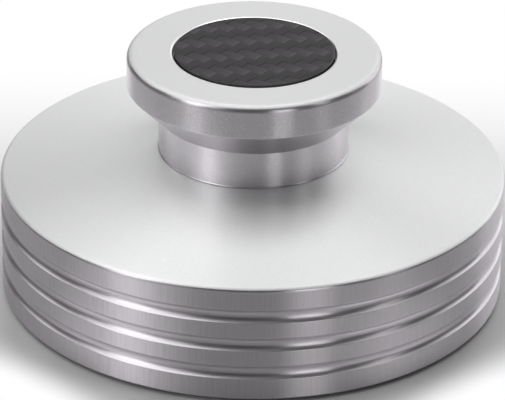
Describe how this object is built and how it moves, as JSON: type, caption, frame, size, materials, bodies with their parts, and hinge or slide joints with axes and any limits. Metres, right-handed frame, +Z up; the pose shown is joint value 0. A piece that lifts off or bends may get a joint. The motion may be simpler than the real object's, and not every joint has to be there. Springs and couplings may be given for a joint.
{
  "type": "record weight clamp",
  "caption": "Turned aluminium record weight: a grooved disc that drops over the spindle, a flanged knob to lift it by and a carbon twill inlay.",
  "frame": {"origin": "centre of the underside of the pad, on the surface that the weight rests on", "axes": "+Z up along the turning axis; -Y towards the side seen in the picture"},
  "size_m": [0.08, 0.08, 0.0401],
  "materials": {
    "aluminium": "satin, bead blasted on top and fine turned on the rim",
    "screw_steel": "dark steel",
    "carbon": "satin resin over carbon twill",
    "glue": "double-sided film",
    "pad_rubber": "matt"
  },
  "bodies": {
    "root": {"base_disc": "aluminium", "knob": "aluminium", "knob_screw": "screw_steel", "carbon_inlay": "carbon", "inlay_glue": "glue", "label_pad": "pad_rubber", "pad_glue": "glue"}
  },
  "joints": []
}
